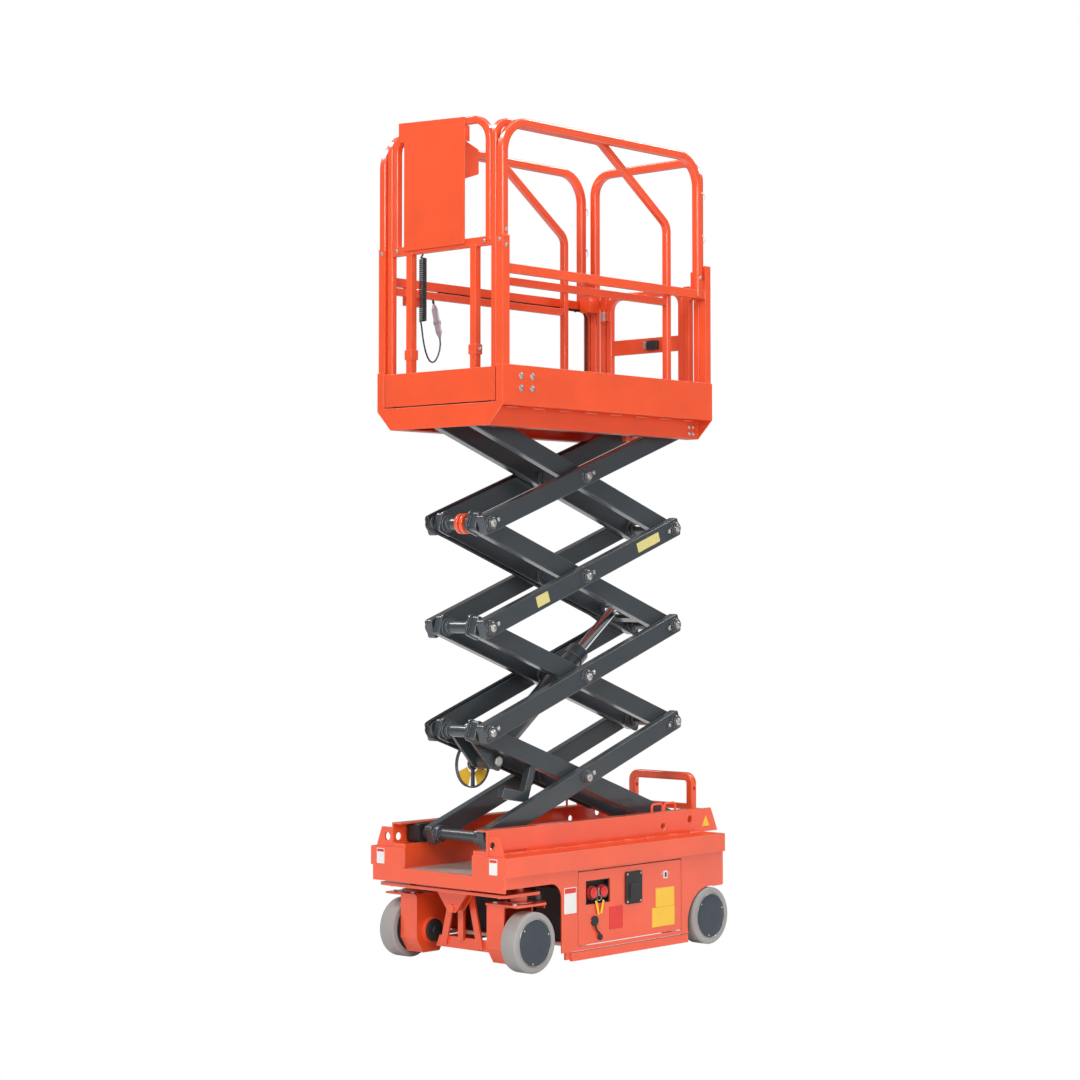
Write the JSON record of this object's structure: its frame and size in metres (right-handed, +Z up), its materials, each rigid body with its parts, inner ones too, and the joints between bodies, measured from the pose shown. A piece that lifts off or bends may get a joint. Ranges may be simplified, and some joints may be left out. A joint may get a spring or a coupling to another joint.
{
  "type": "scissor lift",
  "caption": "Compact electric scissor lift with dark stacked arms raised to half height, guardrailed platform with roll-out deck, slide-out trays and steered front wheels",
  "frame": {"origin": "on the floor, below the centre of the overall box", "axes": "+X forward to the steered wheels, +Y to the machine's left, +Z up"},
  "size_m": [1.466, 0.76, 3.414],
  "materials": {
    "battery_case": "plain closed-in block",
    "orange_paint": "smooth satin orange paint",
    "black_rubber": "smooth cable jacket",
    "black_plastic": "fine grained black",
    "arm_paint": "dark grey satin paint",
    "chrome_rod": "hard chrome",
    "slate_paint": "slate grey paint",
    "grey_tyre": "solid pale non-marking rubber"
  },
  "bodies": {
    "chassis": {"chassis_frame": "orange_paint", "tie_down_lugs": "orange_paint", "side_skirt_left": "orange_paint", "side_skirt_right": "orange_paint", "pothole_guard_left": "orange_paint", "pothole_guard_right": "orange_paint", "front_axle": "orange_paint", "rear_axle": "orange_paint", "rear_ladder": "orange_paint", "tray_runners": "orange_paint", "handle_loops": "orange_paint"},
    "tray_left": {"tray_left": "orange_paint", "battery_pack": "battery_case", "ground_controls": "black_plastic", "latch_left": "black_plastic"},
    "tray_right": {"tray_right": "orange_paint", "power_unit": "battery_case", "latch_right": "black_plastic"},
    "knuckle_left": {"knuckle_left": "slate_paint"},
    "knuckle_right": {"knuckle_right": "slate_paint"},
    "tie_rod": {"tie_rod": "arm_paint"},
    "wheel_fl": {"tyre_fl": "grey_tyre", "hub_fl": "slate_paint"},
    "wheel_fr": {"tyre_fr": "grey_tyre", "hub_fr": "slate_paint"},
    "wheel_rl": {"tyre_rl": "grey_tyre", "hub_rl": "slate_paint"},
    "wheel_rr": {"tyre_rr": "grey_tyre", "hub_rr": "slate_paint"},
    "inner_1": {"inner_arms_1": "arm_paint", "guard_hoop": "arm_paint", "strap_bracket": "arm_paint"},
    "outer_1": {"outer_arms_1": "arm_paint"},
    "slide_blocks": {"slide_blocks": "black_plastic"},
    "inner_2": {"inner_arms_2": "arm_paint"},
    "outer_2": {"outer_arms_2": "arm_paint"},
    "inner_3": {"inner_arms_3": "arm_paint"},
    "outer_3": {"outer_arms_3": "arm_paint"},
    "inner_4": {"inner_arms_4": "arm_paint", "top_rollers": "black_plastic"},
    "outer_4": {"outer_arms_4": "arm_paint"},
    "cylinder_barrel": {"cylinder_barrel": "arm_paint"},
    "cylinder_rod": {"cylinder_rod": "chrome_rod"},
    "platform": {"platform_frame": "orange_paint", "side_rail_left": "orange_paint", "side_rail_right": "orange_paint", "rear_rail": "orange_paint", "document_box": "black_plastic", "socket_box": "orange_paint", "connector": "black_plastic", "harness": "black_rubber"},
    "gate": {"gate": "orange_paint"},
    "extension": {"extension_deck": "orange_paint", "extension_rail_left": "orange_paint", "extension_rail_right": "orange_paint", "front_rail": "orange_paint", "control_box": "orange_paint", "foot_pedal": "black_plastic", "coil": "black_rubber", "lead": "black_rubber"}
  },
  "joints": [
    {"name": "lift", "type": "hinge", "parent": "chassis", "child": "inner_1", "pos_m": [-0.567, 0, 0.518], "axis": [0, -1, 0], "range_deg": [-15.5, 22.3]},
    {"name": "outer_1_pivot", "type": "hinge", "parent": "inner_1", "child": "outer_1", "pos_m": [0.01671, 0, 0.727], "axis": [0, -1, 0], "range_deg": [-44.65, 31.05]},
    {"name": "slide_level", "type": "hinge", "parent": "outer_1", "child": "slide_blocks", "pos_m": [0.60042, 0, 0.518], "axis": [0, -1, 0], "range_deg": [-15.55, 22.35]},
    {"name": "outer_2_pivot", "type": "hinge", "parent": "inner_1", "child": "outer_2", "pos_m": [0.60042, 0, 0.936], "axis": [0, -1, 0], "range_deg": [-44.65, 31.05]},
    {"name": "inner_2_pivot", "type": "hinge", "parent": "outer_2", "child": "inner_2", "pos_m": [0.01671, 0, 1.145], "axis": [0, -1, 0], "range_deg": [-31.05, 44.65]},
    {"name": "inner_3_pivot", "type": "hinge", "parent": "outer_2", "child": "inner_3", "pos_m": [-0.567, 0, 1.354], "axis": [0, -1, 0], "range_deg": [-31.05, 44.65]},
    {"name": "outer_3_pivot", "type": "hinge", "parent": "inner_3", "child": "outer_3", "pos_m": [0.01671, 0, 1.56299], "axis": [0, -1, 0], "range_deg": [-44.65, 31.05]},
    {"name": "outer_4_pivot", "type": "hinge", "parent": "inner_3", "child": "outer_4", "pos_m": [0.60042, 0, 1.77199], "axis": [0, -1, 0], "range_deg": [-44.65, 31.05]},
    {"name": "inner_4_pivot", "type": "hinge", "parent": "outer_4", "child": "inner_4", "pos_m": [0.01671, 0, 1.98099], "axis": [0, -1, 0], "range_deg": [-31.05, 44.65]},
    {"name": "platform_level", "type": "hinge", "parent": "outer_4", "child": "platform", "pos_m": [-0.567, 0, 2.18999], "axis": [0, -1, 0], "range_deg": [-15.55, 22.35]},
    {"name": "cylinder_pivot", "type": "hinge", "parent": "inner_1", "child": "cylinder_barrel", "pos_m": [0.44379, 0, 0.80981], "axis": [0, -1, 0], "range_deg": [-49.11, 34.15]},
    {"name": "cylinder_slide", "type": "slide", "parent": "cylinder_barrel", "child": "cylinder_rod", "axis": [-0.7926, 0, 0.6098], "range_m": [-0.1904, 0.2734]},
    {"name": "extension_slide", "type": "slide", "parent": "platform", "child": "extension", "axis": [1, 0, 0], "range_m": [0, 0.6]},
    {"name": "gate_swing", "type": "hinge", "parent": "platform", "child": "gate", "pos_m": [-0.548, -0.222, 2.5], "axis": [0, 0, -1], "range_deg": [0, 85]},
    {"name": "tray_left_slide", "type": "slide", "parent": "chassis", "child": "tray_left", "axis": [0, 1, 0], "range_m": [0, 0.3]},
    {"name": "tray_right_slide", "type": "slide", "parent": "chassis", "child": "tray_right", "axis": [0, -1, 0], "range_m": [0, 0.3]},
    {"name": "steer_left", "type": "hinge", "parent": "chassis", "child": "knuckle_left", "pos_m": [0.568, 0.29, 0.27], "axis": [0, 0, 1], "range_deg": [-60, 60]},
    {"name": "steer_right", "type": "hinge", "parent": "chassis", "child": "knuckle_right", "pos_m": [0.568, -0.29, 0.27], "axis": [0, 0, 1], "range_deg": [-60, 60]},
    {"name": "tie_rod_pivot", "type": "hinge", "parent": "knuckle_left", "child": "tie_rod", "pos_m": [0.463, 0.29, 0.282], "axis": [0, 0, 1], "range_deg": [-60, 60]},
    {"name": "spin_fl", "type": "hinge", "parent": "knuckle_left", "child": "wheel_fl", "pos_m": [0.568, 0.33, 0.12], "axis": [0, 1, 0], "continuous": true},
    {"name": "spin_fr", "type": "hinge", "parent": "knuckle_right", "child": "wheel_fr", "pos_m": [0.568, -0.33, 0.12], "axis": [0, 1, 0], "continuous": true},
    {"name": "spin_rl", "type": "hinge", "parent": "chassis", "child": "wheel_rl", "pos_m": [-0.542, 0.33, 0.12], "axis": [0, 1, 0], "continuous": true},
    {"name": "spin_rr", "type": "hinge", "parent": "chassis", "child": "wheel_rr", "pos_m": [-0.542, -0.33, 0.12], "axis": [0, 1, 0], "continuous": true}
  ],
  "couplings": [
    {"joint": "outer_1_pivot", "follows": "lift", "ratio": -2},
    {"joint": "slide_level", "follows": "lift", "ratio": 1},
    {"joint": "outer_2_pivot", "follows": "lift", "ratio": -2},
    {"joint": "inner_2_pivot", "follows": "lift", "ratio": 2},
    {"joint": "inner_3_pivot", "follows": "lift", "ratio": 2},
    {"joint": "outer_3_pivot", "follows": "lift", "ratio": -2},
    {"joint": "outer_4_pivot", "follows": "lift", "ratio": -2},
    {"joint": "inner_4_pivot", "follows": "lift", "ratio": 2},
    {"joint": "platform_level", "follows": "lift", "ratio": 1},
    {"joint": "cylinder_pivot", "follows": "lift", "ratio": -2.2},
    {"joint": "cylinder_slide", "follows": "lift", "m_per_rad": 0.7},
    {"joint": "steer_right", "follows": "steer_left", "ratio": 1},
    {"joint": "tie_rod_pivot", "follows": "steer_left", "ratio": -1}
  ]
}
